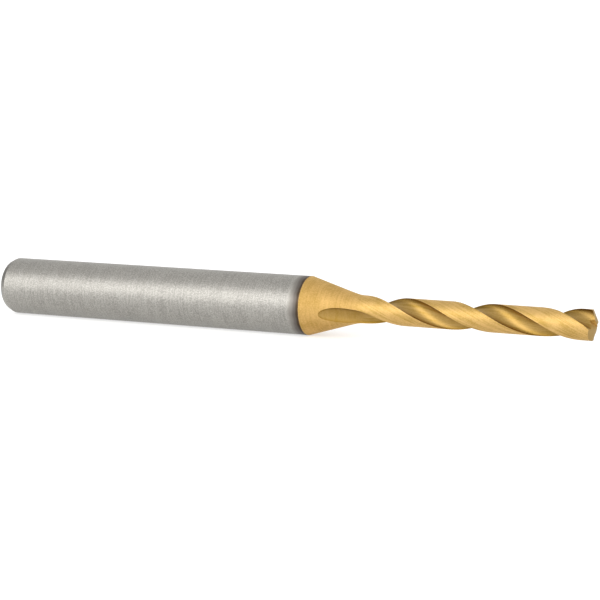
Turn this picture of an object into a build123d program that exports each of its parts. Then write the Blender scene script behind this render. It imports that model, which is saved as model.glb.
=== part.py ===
from build123d import *
import math
import os

# A 3 mm two-flute end mill: a ground steel shank with a coated carbide cutter brazed into its front.
# Frame: origin at the centre of the shank's flat back face, +X along the tool's axis to its point,
# +Z up. The tool turns clockwise as seen from its shank, which is right-handed about +X.

# Driving dimensions, mm and degrees
shankDiameter = 6.0         # h6 shank, the size a collet grips
shankLength = 36.0          # back face to the brazed joint
chamferLength = 0.6         # back chamfer, measured along the axis
chamferDepth = 0.3          # and measured on the radius
neckLength = 1.92           # plain part of the taper, from the joint to the end of the flutes
taperHalfAngle = 16.5       # neck between the shank diameter and the body diameter
fluteLength = 28.0          # tip of the point to the far end of the flutes' run-out
runOutPast = 2.65           # where a flute's floor starts to rise, past the front of the taper
cutterDiameter = 3.0        # cutting diameter, over the head
bodyDiameter = 2.78         # relieved part behind the head
headLength = 3.0            # full-diameter head, with the point
headBlend = 2.5             # length over which the body widens into the head
fluteCount = 2
fluteLead = 18.0            # advance of one full turn of the helix
fluteDirection = 150.5      # where the first flute faces at the tip, about +X, from +Y towards +Z
fluteWidth = 1.96           # across a flute's mouth, edge to heel
coreDiameter = 1.0          # web left between the floors of the flutes
pointAngle = 150.0          # included angle of the two cutting lips
primaryRelief = 8.0         # relief of the facet that holds each lip
primaryWidth = 0.7          # how far that facet reaches behind the lip
secondaryRelief = 26.0      # relief of the facet behind it
gashOffset = 0.08           # each gash stops this short of the tool's centre
gashAngle = 50.0            # slope of a gash's floor
spigotDiameter = 3.6        # part of the cutter inside the shank
spigotLength = 10.0
spigotChamfer = 0.3
solderGap = 0.08            # solder film, on every brazed face

# Sizes that follow from them
shankRadius = shankDiameter / 2
cutterRadius = cutterDiameter / 2
bodyRadius = bodyDiameter / 2
coreRadius = coreDiameter / 2
spigotRadius = spigotDiameter / 2
socketRadius = spigotRadius + solderGap
socketDepth = spigotLength + solderGap
cutterBase = shankLength + solderGap
spigotEnd = cutterBase - spigotLength
taperSlope = math.tan(math.radians(taperHalfAngle))
taperEnd = cutterBase + (shankRadius - bodyRadius) / taperSlope
fluteStart = cutterBase + neckLength
overallLength = fluteStart + fluteLength
runOutEnd = taperEnd + runOutPast
headStart = overallLength - headLength
blendStart = headStart - headBlend
pointBase = overallLength - cutterDiameter / 3
fluteSpacing = 360.0 / fluteCount

# A flute's section is half an ellipse: as wide as the flute, deep enough to reach the core,
# with its centre where the flute's two corners meet the cutting diameter.
fluteHalfWidth = fluteWidth / 2
fluteCentre = math.sqrt(cutterRadius ** 2 - fluteHalfWidth ** 2)
fluteDepth = fluteCentre - coreRadius
cornerAngle = math.degrees(math.asin(fluteHalfWidth / cutterRadius))
lipDirection = fluteDirection - cornerAngle


def revolved(points):
    """A solid of revolution about the tool's axis, from (x, radius) points."""
    return revolve(make_face(Polyline(*points, close=True)), Axis.X)


def polar(radius, angle):
    """A point in the plane across the tool, the angle running from +Y towards +Z."""
    return (radius * math.cos(math.radians(angle)), radius * math.sin(math.radians(angle)))


def twistAt(x):
    """How far the flutes have turned at a station, from the tip: a helix that straightens in the run-out."""
    helix = 360.0 * (max(x, runOutEnd) - overallLength) / fluteLead
    runOutLength = runOutEnd - fluteStart
    share = (min(x, runOutEnd) - fluteStart) / runOutLength
    return helix - 360.0 * runOutLength / fluteLead * (1 - share ** 2) / 2


def across(x, turn):
    """The plane across the tool at a station, with its Y towards a flute."""
    middle = fluteDirection + twistAt(x) + turn
    return Plane(origin=(x, 0, 0), x_dir=(0, *polar(1.0, middle - 90)), z_dir=(1, 0, 0))


def cornerOf(radius):
    """Where a flute's ellipse meets a radius: the angle on the ellipse from its deepest point."""
    a = fluteHalfWidth ** 2 - fluteDepth ** 2
    b = 2 * fluteCentre * fluteDepth
    c = fluteCentre ** 2 + fluteHalfWidth ** 2 - radius ** 2
    cosine = (math.sqrt(b ** 2 + 4 * a * c) - b) / (2 * a)
    return math.degrees(math.acos(cosine))


def barSection(x, radius):
    """The cutter's whole section at a station: the flutes' floors and the lands between them."""
    corner = cornerOf(radius)
    side = fluteHalfWidth * math.sin(math.radians(corner))
    landStart = math.degrees(math.asin(side / radius))
    landMiddle = fluteSpacing / 2
    lines = []
    for tooth in range(fluteCount):
        turn = Rot(0, 0, tooth * fluteSpacing)
        lines.append(turn * EllipticalCenterArc(
            (0, fluteCentre), fluteHalfWidth, fluteDepth, 270 - corner, arc_size=2 * corner
        ))
        lines.append(turn * ThreePointArc(
            polar(radius, 90 + landStart),
            polar(radius, 90 + landMiddle),
            polar(radius, 90 + fluteSpacing - landStart),
        ))
    return across(x, 0) * make_face(lines)


def runOutSection(x, lift, reach, turn):
    """What a flute takes out of the taper at a station, with its floor lifted off the core."""
    height = fluteCentre + lift
    left = (-fluteHalfWidth, height)
    right = (fluteHalfWidth, height)
    return across(x, turn) * make_face([
        EllipticalCenterArc((0, height), fluteHalfWidth, fluteDepth, 180, arc_size=180),
        Line(right, (fluteHalfWidth, reach)),
        Line((fluteHalfWidth, reach), (-fluteHalfWidth, reach)),
        Line((-fluteHalfWidth, reach), left),
    ])


def twisted(radius, start, end):
    """The fluted bar of this radius, from one station to another."""
    section = barSection(start, radius)
    return Solid.extrude_linear_with_rotation(
        section.face(), (start, 0, 0), (end - start, 0, 0), twistAt(end) - twistAt(start)
    )


def blended(steps):
    """The fluted bar where the body widens into the head."""
    sections = []
    for step in range(steps + 1):
        share = step / steps
        radius = bodyRadius + (cutterRadius - bodyRadius) * share ** 2 * (3 - 2 * share)
        sections.append(barSection(blendStart + headBlend * share, radius))
    return loft(sections)


def runOut(turn, steps):
    """The end of one flute, where its floor rises out through the taper."""
    surfaceRadius = max(shankRadius - neckLength * taperSlope, bodyRadius)
    fullLift = surfaceRadius - coreRadius
    sections = []
    for step in range(steps + 2):
        rise = step / steps
        station = runOutEnd - (runOutEnd - fluteStart) * rise
        lift = fullLift * rise ** 2
        sections.append(runOutSection(station, lift, 2 * shankRadius + fullLift, turn))
    return loft(sections)


def pointPlane(relief, behind, drop, turn):
    """A facet of the point: parallel to a lip, tilted back by its relief from a line behind the lip."""
    angle = lipDirection + turn
    lip = Vector(0, *polar(1.0, angle))
    ahead = Vector(0, *polar(1.0, angle + 90))
    slope = 1 / math.tan(math.radians(pointAngle / 2))
    normal = Vector(1, 0, 0) + lip * slope - ahead * math.tan(math.radians(relief))
    origin = Vector(overallLength - drop, 0, 0) - ahead * behind
    return Plane(origin=origin, x_dir=lip.cross(normal), z_dir=normal)


def gash(turn):
    """The notch that thins the web ahead of a lip, deeper the further out it goes."""
    outward = cutterDiameter
    depth = (outward + gashOffset) * math.tan(math.radians(gashAngle))
    angle = lipDirection + turn
    ahead = Vector(0, *polar(1.0, angle + 90))
    origin = Vector(overallLength, 0, 0) + ahead * gashOffset / 2
    # in this plane X runs out along the lip, and Y runs back along the tool
    face = Plane(origin=origin, x_dir=(0, *polar(1.0, angle)), z_dir=ahead)
    outline = Polyline((-gashOffset, 0), (outward, depth), (outward, -1), (-gashOffset, -1), close=True)
    return extrude(face * make_face(outline), cutterRadius)


# Shank: a round bar with a chamfered back end and a blind socket in its front face
shankBar = revolved([
    (0, 0),
    (0, shankRadius - chamferDepth),
    (chamferLength, shankRadius),
    (shankLength, shankRadius),
    (shankLength, 0),
])
socket = revolved([
    (shankLength - socketDepth, 0),
    (shankLength - socketDepth, socketRadius - spigotChamfer),
    (shankLength - socketDepth + spigotChamfer, socketRadius),
    (shankLength + solderGap, socketRadius),
    (shankLength + solderGap, 0),
])
shank = shankBar - socket

# Neck of the cutter: spigot, taper and a short plain bar, with the flutes running out through them
neck = revolved([
    (spigotEnd, 0),
    (spigotEnd, spigotRadius - spigotChamfer),
    (spigotEnd + spigotChamfer, spigotRadius),
    (cutterBase, spigotRadius),
    (cutterBase, shankRadius),
    (taperEnd, bodyRadius),
    (runOutEnd, bodyRadius),
    (runOutEnd, 0),
])
for tooth in range(fluteCount):
    neck = neck - runOut(tooth * fluteSpacing, 8)

# Point: the front of the head, with two facets behind each lip and a gash ahead of it
point = Part() + twisted(cutterRadius, pointBase, overallLength + coreRadius)
edgeDrop = primaryWidth * math.tan(math.radians(primaryRelief))
for tooth in range(fluteCount):
    turn = tooth * fluteSpacing
    primary = pointPlane(primaryRelief, 0.0, 0.0, turn)
    secondary = pointPlane(secondaryRelief, primaryWidth, edgeDrop, turn)
    for facet in (primary, secondary):
        point = point - facet * Box(
            4 * cutterDiameter, 4 * cutterDiameter, cutterDiameter,
            align=(Align.CENTER, Align.CENTER, Align.MIN),
        )
for tooth in range(fluteCount):
    point = point - gash(tooth * fluteSpacing)

# The fluted body, its widening front and the head join the two
body = twisted(bodyRadius, runOutEnd, blendStart)
head = twisted(cutterRadius, headStart, pointBase)
cutter = neck + body + blended(5) + head + point

# Solder: the film that fills the gap between socket and spigot and between the two faces
film = revolved([
    (shankLength - socketDepth, 0),
    (shankLength - socketDepth, socketRadius - spigotChamfer),
    (shankLength - socketDepth + spigotChamfer, socketRadius),
    (shankLength, socketRadius),
    (shankLength, shankRadius),
    (cutterBase, shankRadius),
    (cutterBase, spigotRadius),
    (spigotEnd + spigotChamfer, spigotRadius),
    (spigotEnd, spigotRadius - spigotChamfer),
    (spigotEnd, 0),
])

os.makedirs("parts", exist_ok=True)
pieces = {"shank": shank, "cutter": cutter, "braze_joint": film}
for name, solid in pieces.items():
    export_step(solid, "parts/" + name + ".step")
    box = solid.bounding_box()
    print(name, "solids", len(solid.solids()), "volume", round(solid.volume, 2),
          "x", round(box.min.X, 3), "to", round(box.max.X, 3))
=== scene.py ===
import math
import bmesh
import bpy
from mathutils import Matrix, Vector


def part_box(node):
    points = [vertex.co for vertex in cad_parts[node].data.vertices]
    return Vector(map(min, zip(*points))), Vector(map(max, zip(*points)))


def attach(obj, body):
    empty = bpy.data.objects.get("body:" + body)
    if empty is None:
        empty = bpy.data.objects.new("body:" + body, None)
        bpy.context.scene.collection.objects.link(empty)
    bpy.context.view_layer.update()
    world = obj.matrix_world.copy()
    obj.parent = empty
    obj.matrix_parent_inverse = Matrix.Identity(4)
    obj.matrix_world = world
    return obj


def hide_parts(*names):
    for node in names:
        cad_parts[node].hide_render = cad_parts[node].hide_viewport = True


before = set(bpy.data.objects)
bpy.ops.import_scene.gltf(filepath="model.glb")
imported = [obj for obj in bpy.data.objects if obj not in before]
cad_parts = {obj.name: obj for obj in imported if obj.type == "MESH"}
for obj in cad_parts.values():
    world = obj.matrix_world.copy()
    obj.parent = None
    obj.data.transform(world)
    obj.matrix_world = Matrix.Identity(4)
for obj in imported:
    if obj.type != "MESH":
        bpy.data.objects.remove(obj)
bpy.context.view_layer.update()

# The end mill lies along X with its point at +X. Sizes in the dictionaries are in mm and degrees.
mm = 0.001
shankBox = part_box("shank")
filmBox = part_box("braze_joint")
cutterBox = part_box("cutter")
toolRadius = shankBox[1][2]
jointX = shankBox[1][0]      # front face of the shank
neckX = filmBox[1][0]        # back face of the cutter's taper
tipX = cutterBox[1][0]
axisX = Vector((1, 0, 0))
weld = 1e-7                  # points closer than this are one
near = 1e-6                  # and two sizes this close are the same


def spinProfile(points, steps):
    # a line of (x, radius) points turned once about the tool's axis
    bm = bmesh.new()
    made = [bm.verts.new((x, 0, r)) for x, r in points]
    edges = [bm.edges.new(pair) for pair in zip(made, made[1:])]
    bmesh.ops.spin(bm, geom=made + edges, cent=(0, 0, 0), axis=axisX, angle=math.tau,
                   steps=steps, use_merge=True)
    bmesh.ops.remove_doubles(bm, verts=bm.verts, dist=weld)
    bmesh.ops.recalc_face_normals(bm, faces=bm.faces)
    return bm


def roundEdges(bm, radius, places):
    # softens the rings of edges that stand at these (x, radius) places
    chosen = []
    for edge in bm.edges:
        ends = [(v.co.x, math.hypot(v.co.y, v.co.z)) for v in edge.verts]
        for x, r in places:
            if all(abs(end[0] - x) < near and abs(end[1] - r) < near for end in ends):
                chosen.append(edge)
    bmesh.ops.bevel(bm, geom=chosen, offset=radius, offset_type="OFFSET", segments=4,
                    affect="EDGES", profile=0.5, material=-1)


def finishMesh(bm, name, material, sharpAngle):
    # smooth faces, but for the edges that turn by more than this angle
    for face in bm.faces:
        face.smooth = True
    for edge in bm.edges:
        if len(edge.link_faces) == 2 and edge.calc_face_angle(0) > math.radians(sharpAngle):
            edge.smooth = False
    mesh = bpy.data.meshes.new(name)
    bm.to_mesh(mesh)
    bm.free()
    mesh.materials.append(material)
    piece = bpy.data.objects.new(name, mesh)
    bpy.context.scene.collection.objects.link(piece)
    return piece


def newMaterial(name):
    material = bpy.data.materials.new(name)
    material.use_nodes = True
    nodes = material.node_tree.nodes
    return material, nodes, material.node_tree.links, nodes["Principled BSDF"]


def mathNode(nodes, links, operation, first, second=None, third=None):
    node = nodes.new("ShaderNodeMath")
    node.operation = operation
    for socket, value in zip(node.inputs, (first, second, third)):
        if value is None:
            continue
        if isinstance(value, (int, float)):
            socket.default_value = value
        else:
            links.new(value, socket)
    return node.outputs[0]


def newGroup(name, inputs, outputs):
    group = bpy.data.node_groups.new(name, "ShaderNodeTree")
    for label, kind, value in inputs:
        socket = group.interface.new_socket(label, in_out="INPUT", socket_type=kind)
        if value is not None:
            socket.default_value = value
    for label, kind in outputs:
        group.interface.new_socket(label, in_out="OUTPUT", socket_type=kind)
    start = group.nodes.new("NodeGroupInput")
    end = group.nodes.new("NodeGroupOutput")
    return group, group.nodes, group.links, start, end


def makeGrindGroup():
    # fine grinding lines: rings when Turn Per Metre is 0, and lines along a helix when it is the helix's
    group, nodes, links, start, end = newGroup(
        "grindingLines",
        [("Vector", "NodeSocketVector", None), ("Turn Per Metre", "NodeSocketFloat", 0.0),
         ("Along", "NodeSocketFloat", 1.0), ("Around", "NodeSocketFloat", 1.0)],
        [("Lines", "NodeSocketFloat")],
    )
    split = nodes.new("ShaderNodeSeparateXYZ")
    links.new(start.outputs["Vector"], split.inputs[0])
    turned = nodes.new("ShaderNodeVectorRotate")
    turned.rotation_type = "X_AXIS"
    links.new(start.outputs["Vector"], turned.inputs["Vector"])
    twist = mathNode(nodes, links, "MULTIPLY", split.outputs["X"], start.outputs["Turn Per Metre"])
    links.new(twist, turned.inputs["Angle"])
    parts = nodes.new("ShaderNodeSeparateXYZ")
    links.new(turned.outputs[0], parts.inputs[0])
    joined = nodes.new("ShaderNodeCombineXYZ")
    for axis, scale in (("X", "Along"), ("Y", "Around"), ("Z", "Around")):
        scaled = mathNode(nodes, links, "MULTIPLY", parts.outputs[axis], start.outputs[scale])
        links.new(scaled, joined.inputs[axis])
    noise = nodes.new("ShaderNodeTexNoise")
    noise.inputs["Scale"].default_value = 1.0
    noise.inputs["Detail"].default_value = 5.0
    noise.inputs["Roughness"].default_value = 0.65
    links.new(joined.outputs[0], noise.inputs["Vector"])
    links.new(noise.outputs[0], end.inputs["Lines"])
    return group


def makeMottleGroup():
    # slow cloudy variation with a fine speckle on top
    group, nodes, links, start, end = newGroup(
        "mottle",
        [("Vector", "NodeSocketVector", None), ("Cloud Scale", "NodeSocketFloat", 400.0),
         ("Speckle Scale", "NodeSocketFloat", 9000.0)],
        [("Cloud", "NodeSocketFloat"), ("Speckle", "NodeSocketFloat")],
    )
    for output, detail in (("Cloud", 3.0), ("Speckle", 2.0)):
        noise = nodes.new("ShaderNodeTexNoise")
        noise.inputs["Detail"].default_value = detail
        links.new(start.outputs["Vector"], noise.inputs["Vector"])
        links.new(start.outputs[output + " Scale"], noise.inputs["Scale"])
        links.new(noise.outputs[0], end.inputs[output])
    return group


grindGroup = makeGrindGroup()
mottleGroup = makeMottleGroup()


def placeGroup(nodes, group, settings):
    node = nodes.new("ShaderNodeGroup")
    node.node_tree = group
    for label, value in settings.items():
        node.inputs[label].default_value = value
    return node


def rampNode(nodes, links, factor, stops):
    ramp = nodes.new("ShaderNodeValToRGB")
    ramp.color_ramp.interpolation = "EASE"
    points = ramp.color_ramp.elements
    while len(points) < len(stops):
        points.new(0.5)
    for point, (place, colour) in zip(points, stops):
        point.position = place
        point.color = (*colour, 1)
    links.new(factor, ramp.inputs[0])
    return ramp.outputs[0]


def mixColour(nodes, links, factor, first, second):
    node = nodes.new("ShaderNodeMix")
    node.data_type = "RGBA"
    links.new(factor, node.inputs[0])
    for socket, value in ((node.inputs[6], first), (node.inputs[7], second)):
        if isinstance(value, tuple):
            socket.default_value = (*value, 1)
        else:
            links.new(value, socket)
    return node.outputs[2]


def mapRange(nodes, links, value, low, high, toLow, toHigh):
    node = nodes.new("ShaderNodeMapRange")
    links.new(value, node.inputs[0])
    for index, number in enumerate((low, high, toLow, toHigh)):
        node.inputs[index + 1].default_value = number
    return node.outputs[0]


shank = {
    "chamferLength": 0.6,
    "chamferDepth": 0.3,
    "chamferRound": 0.05,
    "steps": 192,                # faces around the bar
    "sharpAngle": 25,            # edges that turn by more than this stay sharp
    "steel": (0.375, 0.363, 0.333),
    "steelDark": (0.235, 0.226, 0.208),
    "bandDark": (0.055, 0.038, 0.022),     # heat tint, from the joint outwards
    "bandMid": (0.125, 0.110, 0.098),
    "bandFar": (0.22, 0.205, 0.185),
    "bandLength": 1.35,
    "roughness": 0.47,
    "bumpDepth": 0.006,
}

# the brazed joint inside the shank, which all three pieces share
joint = {
    "spigotDiameter": 3.6,
    "gap": 0.08,
    "chamfer": 0.3,
}
spigotR = joint["spigotDiameter"] / 2 * mm
socketR = spigotR + joint["gap"] * mm
jointChamfer = joint["chamfer"] * mm
spigotX = cutterBox[0][0]    # back end of the cutter's spigot
socketX = filmBox[0][0]      # bottom of the shank's socket


def makeSteel():
    material, nodes, links, shader = newMaterial("groundSteel")
    coords = nodes.new("ShaderNodeTexCoord")
    lines = placeGroup(nodes, grindGroup, {"Turn Per Metre": 0.0, "Along": 9000.0, "Around": 220.0})
    links.new(coords.outputs["Object"], lines.inputs["Vector"])
    mottle = placeGroup(nodes, mottleGroup, {"Cloud Scale": 700.0, "Speckle Scale": 8500.0})
    links.new(coords.outputs["Object"], mottle.inputs["Vector"])
    place = nodes.new("ShaderNodeSeparateXYZ")
    links.new(coords.outputs["Object"], place.inputs[0])
    # how far this spot is from the brazed joint, made uneven by the clouds
    distance = mathNode(nodes, links, "SUBTRACT", jointX, place.outputs["X"])
    share = mathNode(nodes, links, "DIVIDE", distance, shank["bandLength"] * mm)
    wander = mapRange(nodes, links, mottle.outputs["Cloud"], 0.3, 0.7, -0.08, 0.08)
    share = mathNode(nodes, links, "ADD", share, wander)
    fine = mathNode(nodes, links, "MULTIPLY_ADD", lines.outputs["Lines"], 0.35,
                    mathNode(nodes, links, "MULTIPLY", mottle.outputs["Speckle"], 0.55))
    grain = mathNode(nodes, links, "MULTIPLY_ADD", mottle.outputs["Cloud"], 0.10, fine)
    blend = mapRange(nodes, links, grain, 0.41, 0.59, 0.0, 1.0)
    steel = mixColour(nodes, links, blend, shank["steelDark"], shank["steel"])
    band = rampNode(nodes, links, share, [
        (0.0, shank["bandDark"]),
        (0.30, shank["bandMid"]),
        (0.60, shank["bandFar"]),
        (1.0, shank["steel"]),
    ])
    fade = mapRange(nodes, links, share, 0.6, 1.0, 0.0, 1.0)
    colour = mixColour(nodes, links, fade, band, steel)
    links.new(colour, shader.inputs["Base Color"])
    shader.inputs["Metallic"].default_value = 1.0
    rough = mapRange(nodes, links, lines.outputs["Lines"], 0.3, 0.7,
                     shank["roughness"] - 0.06, shank["roughness"] + 0.08)
    links.new(rough, shader.inputs["Roughness"])
    height = mathNode(nodes, links, "MULTIPLY_ADD", mottle.outputs["Speckle"], 0.7, lines.outputs["Lines"])
    bump = nodes.new("ShaderNodeBump")
    bump.inputs["Strength"].default_value = 0.5
    bump.inputs["Distance"].default_value = shank["bumpDepth"] * mm
    links.new(height, bump.inputs["Height"])
    links.new(bump.outputs[0], shader.inputs["Normal"])
    return material


def makeShank():
    chamferX = shank["chamferLength"] * mm
    chamferR = toolRadius - shank["chamferDepth"] * mm
    bm = spinProfile([
        (0, 0), (0, chamferR), (chamferX, toolRadius), (jointX, toolRadius), (jointX, socketR),
        (socketX + jointChamfer, socketR), (socketX, socketR - jointChamfer), (socketX, 0),
    ], shank["steps"])
    roundEdges(bm, shank["chamferRound"] * mm, [(0, chamferR), (chamferX, toolRadius)])
    piece = finishMesh(bm, "shankBar", makeSteel(), shank["sharpAngle"])
    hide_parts("shank")
    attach(piece, "root")
    print("shank made")


makeShank()


solder = {
    "dark": (0.07, 0.045, 0.03),
    "pale": (0.16, 0.11, 0.07),
    "steps": 192,
    "sharpAngle": 25,
    "bumpDepth": 0.003,
}


def makeSolder():
    material, nodes, links, shader = newMaterial("tintedSolder")
    coords = nodes.new("ShaderNodeTexCoord")
    mottle = placeGroup(nodes, mottleGroup, {"Cloud Scale": 900.0, "Speckle Scale": 12000.0})
    links.new(coords.outputs["Object"], mottle.inputs["Vector"])
    colour = rampNode(nodes, links, mottle.outputs["Cloud"], [
        (0.3, solder["dark"]),
        (0.7, solder["pale"]),
    ])
    links.new(colour, shader.inputs["Base Color"])
    shader.inputs["Metallic"].default_value = 1.0
    rough = mapRange(nodes, links, mottle.outputs["Speckle"], 0.3, 0.7, 0.4, 0.6)
    links.new(rough, shader.inputs["Roughness"])
    bump = nodes.new("ShaderNodeBump")
    bump.inputs["Distance"].default_value = solder["bumpDepth"] * mm
    links.new(mottle.outputs["Speckle"], bump.inputs["Height"])
    links.new(bump.outputs[0], shader.inputs["Normal"])
    return material


def makeFilm():
    bm = spinProfile([
        (socketX, 0), (socketX, socketR - jointChamfer), (socketX + jointChamfer, socketR),
        (jointX, socketR), (jointX, toolRadius), (neckX, toolRadius), (neckX, spigotR),
        (spigotX + jointChamfer, spigotR), (spigotX, spigotR - jointChamfer), (spigotX, 0),
    ], solder["steps"])
    piece = finishMesh(bm, "solderFilm", makeSolder(), solder["sharpAngle"])
    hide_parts("braze_joint")
    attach(piece, "root")
    print("solder film made")


makeFilm()


cutter = {
    "diameter": 3.0,
    "bodyDiameter": 2.78,
    "core": 1.0,
    "headLength": 3.0,
    "headBlend": 2.5,
    "lead": 18.0,
    "fluteDirection": 150.5,     # where the first flute faces at the tip
    "fluteWidth": 1.96,
    "taperAngle": 16.5,
    "neck": 1.92,
    "runOutPast": 2.65,
    "pointAngle": 150.0,
    "primary": (8.0, 0.0),       # relief, and how far behind the lip the facet starts
    "secondary": (26.0, 0.7),
    "gashAngle": 50.0,
    "gashOffset": 0.08,
    "taperBlend": 0.12,          # softens the corner between taper and body
    "floorColumns": 48,          # columns of faces across a flute and across a land
    "landColumns": 40,
    "narrowest": 2.0,            # a flute's width where it has risen out of the taper
    "ringStep": 0.1,
    "fineStep": 0.04,            # the rings' step where the flutes end and at the point
    "sharpAngle": 22,
    "pale": (0.60, 0.402, 0.155),
    "deep": (0.365, 0.232, 0.052),
    # painted shade: the darker colour put into the flutes
    "flute": (0.170, 0.090, 0.003),
    # painted shade: the darker colour put on the facets of the point
    "point": (0.32, 0.215, 0.080),
    "roughness": 0.59,
    "fluteRoughness": 0.43,
    "taperRoughness": 0.70,
    "bumpDepth": 0.008,
}
flutes = (0.0, math.pi)      # how far each flute is turned from the first
cutterR = cutter["diameter"] / 2 * mm
bodyR = cutter["bodyDiameter"] / 2 * mm
coreR = cutter["core"] / 2 * mm
halfWidth = cutter["fluteWidth"] / 2 * mm
fluteCentre = math.sqrt(cutterR ** 2 - halfWidth ** 2)
fluteDepth = fluteCentre - coreR
cornerTurn = math.asin(halfWidth / cutterR)
fluteTurn = math.radians(cutter["fluteDirection"])
lipTurn = fluteTurn - cornerTurn
taperSlope = math.tan(math.radians(cutter["taperAngle"]))
fluteX = neckX + cutter["neck"] * mm
runOutX = neckX + (toolRadius - bodyR) / taperSlope + cutter["runOutPast"] * mm
headX = tipX - cutter["headLength"] * mm
fullLift = toolRadius - cutter["neck"] * mm * taperSlope - coreR
turnPerMetre = math.tau / (cutter["lead"] * mm)


def surfaceRadius(x):
    # taper, body and head, with the corner between taper and body blended
    if x - neckX < weld:
        return toolRadius
    share = min(max((x - headX) / (cutter["headBlend"] * mm) + 1, 0), 1)
    plain = bodyR + (cutterR - bodyR) * share ** 2 * (3 - 2 * share)
    taper = toolRadius - (x - neckX) * taperSlope
    blend = cutter["taperBlend"] * mm if x < headX else 0
    return min((taper + plain + math.sqrt((taper - plain) ** 2 + blend ** 2)) / 2, toolRadius)


def twistAt(x):
    # a plain helix that straightens in the run-out
    length = runOutX - fluteX
    share = (max(min(x, runOutX), fluteX) - fluteX) / length
    return turnPerMetre * (max(x, runOutX) - tipX - length * (1 - share ** 2) / 2)


def cornerOf(lift, radius):
    # where the flute's half ellipse reaches this radius, as an angle from its deepest point
    if coreR + lift >= radius:
        return 0
    inner, outer = 0.0, math.pi / 2
    for step in range(30):
        middle = (inner + outer) / 2
        along = fluteCentre + lift - fluteDepth * math.cos(middle)
        if math.hypot(along, halfWidth * math.sin(middle)) < radius:
            inner = middle
        else:
            outer = middle
    return (inner + outer) / 2


def sectionColumns(x):
    # (angle, radius, share of flute) of each column of one tooth, from its lip round to the next one
    radius = surfaceRadius(x)
    lift = fullLift * (max(runOutX - x, 0) / (runOutX - fluteX)) ** 2
    corner = max(cornerOf(lift, radius), math.radians(cutter["narrowest"]))
    columns = []
    for i in range(cutter["floorColumns"] + 1):
        around = corner * (2 * i / cutter["floorColumns"] - 1)
        along = fluteCentre + lift - fluteDepth * math.cos(around)
        aside = halfWidth * math.sin(around)
        floor = math.hypot(along, aside)
        towardsEdge = abs(2 * i / cutter["floorColumns"] - 1)
        # inFlute also carries painted shade: 0.5 across a flute's floor, rising to 1 at its edges
        inFlute = 0.5 + 0.5 * towardsEdge ** 3 if floor < radius - near else 0.0
        columns.append((math.atan2(aside, along), min(floor, radius), inFlute))
    start = columns[-1][0]
    for i in range(1, cutter["landColumns"]):
        share = i / cutter["landColumns"]
        columns.append((start + (math.pi - 2 * start) * share, radius, 0.0))
    return columns


def tubeStations():
    # where the rings stand, from the joint to past the tip
    stations = []
    x = neckX
    end = tipX + cutterR
    while x < end:
        stations.append(x)
        fine = abs(x - fluteX) < 0.5 * mm or x > tipX - cutterR
        x += cutter["fineStep" if fine else "ringStep"] * mm
    stations.append(end)
    return stations


def lipAxes(turn):
    # outwards along a lip, and the way it moves when the tool cuts
    angle = lipTurn + turn
    lip = Vector((0, math.cos(angle), math.sin(angle)))
    ahead = Vector((0, -math.sin(angle), math.cos(angle)))
    return lip, ahead


def cutFacet(bm, relief, behind, turn):
    # one facet of the point, parallel to a lip and tilted back from a line behind it
    lip, ahead = lipAxes(turn)
    slope = 1 / math.tan(math.radians(cutter["pointAngle"] / 2))
    normal = axisX + lip * slope - ahead * math.tan(math.radians(relief))
    drop = behind * math.tan(math.radians(cutter["primary"][0]))
    cut = bmesh.ops.bisect_plane(
        bm, geom=bm.verts[:] + bm.edges[:] + bm.faces[:], dist=1e-9, clear_outer=True,
        plane_co=Vector((tipX - drop * mm, 0, 0)) - ahead * behind * mm, plane_no=normal,
    )
    rim = [item for item in cut["geom_cut"] if isinstance(item, bmesh.types.BMEdge)]
    bmesh.ops.holes_fill(bm, edges=rim, sides=0)


def gashBlock(turn):
    # the wedge that thins the web ahead of a lip
    bm = bmesh.new()
    bmesh.ops.create_cube(bm, size=1.0)
    bmesh.ops.translate(bm, verts=bm.verts, vec=(0.5, 0.5, 0.5))
    bmesh.ops.scale(bm, verts=bm.verts, vec=(4 * cutterR, 4 * cutterR, cutterR))
    tilt = Matrix.Rotation(-math.radians(cutter["gashAngle"]), 3, "Z")
    bmesh.ops.rotate(bm, verts=bm.verts, matrix=tilt)
    offset = cutter["gashOffset"] * mm
    bmesh.ops.translate(bm, verts=bm.verts, vec=(-offset, 0, offset / 2))
    # now X runs out along the lip, Y forward along the tool and Z ahead of the lip
    lip, ahead = lipAxes(turn)
    toTool = Matrix((lip, axisX, ahead)).transposed()
    bmesh.ops.transform(bm, matrix=toTool.to_4x4(), verts=bm.verts)
    bmesh.ops.translate(bm, verts=bm.verts, vec=(tipX, 0, 0))
    bmesh.ops.recalc_face_normals(bm, faces=bm.faces)
    mesh = bpy.data.meshes.new("gash")
    bm.to_mesh(mesh)
    bm.free()
    block = bpy.data.objects.new("gash", mesh)
    bpy.context.scene.collection.objects.link(block)
    return block


def cutGashes(bm):
    # takes both wedges out of the mesh with Boolean modifiers, then drops the helpers
    mesh = bpy.data.meshes.new("ungashed")
    bm.to_mesh(mesh)
    bm.free()
    body = bpy.data.objects.new("ungashed", mesh)
    bpy.context.scene.collection.objects.link(body)
    blocks = [gashBlock(turn) for turn in flutes]
    for block in blocks:
        cut = body.modifiers.new("gash", "BOOLEAN")
        cut.operation = "DIFFERENCE"
        cut.solver = "EXACT"
        cut.object = block
    bpy.context.view_layer.update()
    depsgraph = bpy.context.evaluated_depsgraph_get()
    gashed = bmesh.new()
    gashed.from_mesh(body.evaluated_get(depsgraph).to_mesh())
    for helper in blocks + [body]:
        spare = helper.data
        bpy.data.objects.remove(helper)
        bpy.data.meshes.remove(spare)
    return gashed


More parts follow.
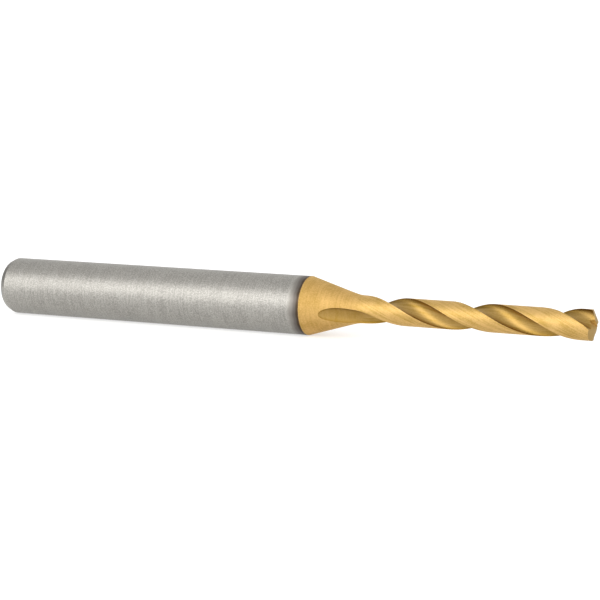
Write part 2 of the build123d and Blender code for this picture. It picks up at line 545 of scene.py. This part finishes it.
def makeCutter():
    # a spigot and a plain tube first: the tube's columns are then moved to the flutes' section
    stations = tubeStations()
    sections = {x: sectionColumns(x) for x in stations}
    toothColumns = cutter["floorColumns"] + cutter["landColumns"]
    count = len(flutes) * toothColumns
    spigot = [
        (spigotX, 0),
        (spigotX, spigotR - jointChamfer),
        (spigotX + jointChamfer, spigotR),
        (neckX, spigotR),
    ]
    bm = spinProfile(spigot + [(x, toolRadius) for x in stations], count)
    # where the flutes lie, which also holds their painted shade
    fluteShadeMask = bm.verts.layers.float.new("inFlute")
    for vert in bm.verts:
        if math.hypot(vert.co.y, vert.co.z) < toolRadius - near:
            continue
        x = min(stations, key=lambda station: abs(station - vert.co.x))
        column = round((math.atan2(vert.co.z, vert.co.y) / math.tau % 1.0) * count) % count
        tooth, place = divmod(column, toothColumns)
        angle, radius, inFlute = sections[x][place]
        angle += flutes[tooth] + fluteTurn + twistAt(x)
        vert.co = (x, radius * math.cos(angle), radius * math.sin(angle))
        vert[fluteShadeMask] = inFlute
    for turn in flutes:
        for relief, behind in (cutter["primary"], cutter["secondary"]):
            cutFacet(bm, relief, behind, turn)
    bmesh.ops.recalc_face_normals(bm, faces=bm.faces)
    bm = cutGashes(bm)
    bmesh.ops.remove_doubles(bm, verts=bm.verts, dist=weld)
    bmesh.ops.recalc_face_normals(bm, faces=bm.faces)
    piece = finishMesh(bm, "cutterBody", makeGold(), cutter["sharpAngle"])
    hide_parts("cutter")
    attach(piece, "root")
    print("cutter made", len(piece.data.vertices), "vertices")


def makeGold():
    material, nodes, links, shader = newMaterial("nitrideGold")
    coords = nodes.new("ShaderNodeTexCoord")
    place = nodes.new("ShaderNodeSeparateXYZ")
    links.new(coords.outputs["Object"], place.inputs[0])
    rings = placeGroup(nodes, grindGroup, {"Turn Per Metre": 0.0, "Along": 7000.0, "Around": 260.0})
    helical = placeGroup(nodes, grindGroup, {
        "Turn Per Metre": -turnPerMetre, "Along": 160.0, "Around": 5000.0,
    })
    mottle = placeGroup(nodes, mottleGroup, {"Cloud Scale": 700.0, "Speckle Scale": 7000.0})
    for group in (rings, helical, mottle):
        links.new(coords.outputs["Object"], group.inputs["Vector"])
    # the lines are faint rings on the taper, and run along the helix further on
    onBar = mapRange(nodes, links, place.outputs["X"], runOutX - 3.0 * mm, runOutX - 1.8 * mm, 0.0, 1.0)
    lines = nodes.new("ShaderNodeMix")
    links.new(onBar, lines.inputs[0])
    links.new(mathNode(nodes, links, "MULTIPLY_ADD", rings.outputs["Lines"], 0.42, 0.29), lines.inputs[2])
    links.new(helical.outputs["Lines"], lines.inputs[3])
    fineLines = mathNode(nodes, links, "MULTIPLY_ADD", mottle.outputs["Speckle"], 0.25,
                         mathNode(nodes, links, "MULTIPLY", lines.outputs[0], 0.75))
    tone = mathNode(nodes, links, "MULTIPLY_ADD", mottle.outputs["Cloud"], 0.2,
                    mathNode(nodes, links, "MULTIPLY", fineLines, 0.8))
    land = rampNode(nodes, links, tone, [(0.34, cutter["deep"]), (0.62, cutter["pale"])])
    # down in the flutes the coating is smoother, and its colour is darkened there as painted shade, darkest
    # along their edges
    mask = nodes.new("ShaderNodeAttribute")
    mask.attribute_name = "inFlute"
    fluteShadeShare = mathNode(nodes, links, "MULTIPLY", mask.outputs["Fac"], 0.9)
    colour = mixColour(nodes, links, fluteShadeShare, land, cutter["flute"])
    # the faces that look forward, the point's facets, get a darker, duller colour: painted shade
    facing = nodes.new("ShaderNodeSeparateXYZ")
    links.new(coords.outputs["Normal"], facing.inputs[0])
    pointShadeShare = mapRange(nodes, links, facing.outputs["X"], 0.55, 0.66, 0.0, 0.75)
    colour = mixColour(nodes, links, pointShadeShare, colour, cutter["point"])
    links.new(colour, shader.inputs["Base Color"])
    shader.inputs["Metallic"].default_value = 1.0
    rough = mapRange(nodes, links, lines.outputs[0], 0.3, 0.7,
                     cutter["roughness"] - 0.06, cutter["roughness"] + 0.08)
    inFlute = mathNode(nodes, links, "GREATER_THAN", mask.outputs["Fac"], 0.3)
    smoother = cutter["fluteRoughness"] - cutter["roughness"]
    rough = mathNode(nodes, links, "MULTIPLY_ADD", inFlute, smoother, rough)
    duller = cutter["taperRoughness"] - cutter["roughness"]
    onTaper = mapRange(nodes, links, onBar, 0.0, 1.0, duller, 0.0)
    links.new(mathNode(nodes, links, "ADD", rough, onTaper), shader.inputs["Roughness"])
    height = mathNode(nodes, links, "MULTIPLY_ADD", mottle.outputs["Speckle"], 0.25, lines.outputs[0])
    bump = nodes.new("ShaderNodeBump")
    bump.inputs["Strength"].default_value = 0.6
    bump.inputs["Distance"].default_value = cutter["bumpDepth"] * mm
    links.new(height, bump.inputs["Height"])
    links.new(bump.outputs[0], shader.inputs["Normal"])
    return material


makeCutter()


studio = {
    "floorSize": 6.0,
    "floorColour": (0.5, 0.5, 0.5),
    "floorGlow": 0.55,
    "worldStrength": 1.1,
    "dimStrength": 0.05,
    "keySize": (0.60, 0.20),
    "keyElevation": 24.5,
    "keyAzimuth": -8.0,
    "keyDistance": 0.26,
    "keyPower": 0.95,
}


def direction(azimuth, elevation):
    # azimuth 0 stands on the tool's -Y side, and it grows towards the point
    a, e = math.radians(azimuth), math.radians(elevation)
    return Vector((math.sin(a) * math.cos(e), -math.cos(a) * math.cos(e), math.sin(e)))


def aimAt(thing, target):
    thing.rotation_euler = (target - thing.location).to_track_quat("-Z", "Y").to_euler()


def makeFloor():
    # a light table: its glow keeps the tool's shadow faint
    bm = bmesh.new()
    bmesh.ops.create_grid(bm, x_segments=2, y_segments=2, size=studio["floorSize"] / 2)
    bmesh.ops.translate(bm, verts=bm.verts, vec=(0, 0, -toolRadius))
    material, nodes, links, shader = newMaterial("paleFloor")
    shader.inputs["Base Color"].default_value = (*studio["floorColour"], 1)
    shader.inputs["Roughness"].default_value = 0.9
    shader.inputs["Emission Color"].default_value = (1, 1, 1, 1)
    shader.inputs["Emission Strength"].default_value = studio["floorGlow"]
    floor = finishMesh(bm, "floor", material, 60)


def makeWorld():
    # even white light, with less to reflect behind the shank
    world = bpy.data.worlds.new("studio")
    bpy.context.scene.world = world
    world.use_nodes = True
    nodes, links = world.node_tree.nodes, world.node_tree.links
    background = nodes["Background"]
    background.inputs["Color"].default_value = (1, 1, 1, 1)
    coords = nodes.new("ShaderNodeTexCoord")
    ray = nodes.new("ShaderNodeSeparateXYZ")
    links.new(coords.outputs["Generated"], ray.inputs[0])
    behind = mapRange(nodes, links, ray.outputs["X"], -0.62, -0.92, 0.0, 1.0)
    path = nodes.new("ShaderNodeLightPath")
    dim = mathNode(nodes, links, "MULTIPLY", behind, path.outputs["Is Glossy Ray"])
    strength = mapRange(nodes, links, dim, 0.0, 1.0, studio["worldStrength"], studio["dimStrength"])
    links.new(strength, background.inputs["Strength"])


def makeKeyLight():
    light = bpy.data.lights.new("keyLight", "AREA")
    light.shape = "RECTANGLE"
    light.size, light.size_y = studio["keySize"]
    light.energy = studio["keyPower"]
    lamp = bpy.data.objects.new("keyLight", light)
    middle = Vector((tipX / 2, 0, 0))
    lamp.location = middle + studio["keyDistance"] * direction(studio["keyAzimuth"], studio["keyElevation"])
    bpy.context.scene.collection.objects.link(lamp)
    aimAt(lamp, middle)


view = {
    "azimuth": 26.2,
    "elevation": 8.0,
    "distance": 184.5,
    "target": (34.85, 0.0, 0.49),
    "sensor": 36.0,
    "lens": 109.2,
}


def makeCamera():
    data = bpy.data.cameras.new("camera")
    data.sensor_width = view["sensor"]
    data.lens = view["lens"]
    data.clip_start = 0.005
    data.clip_end = 20.0
    camera = bpy.data.objects.new("camera", data)
    target = Vector(view["target"]) * mm
    camera.location = target + direction(view["azimuth"], view["elevation"]) * view["distance"] * mm
    bpy.context.scene.collection.objects.link(camera)
    aimAt(camera, target)
    bpy.context.scene.camera = camera


makeFloor()
makeWorld()
makeKeyLight()
makeCamera()
bpy.context.scene.view_settings.view_transform = "Standard"
print("studio made")
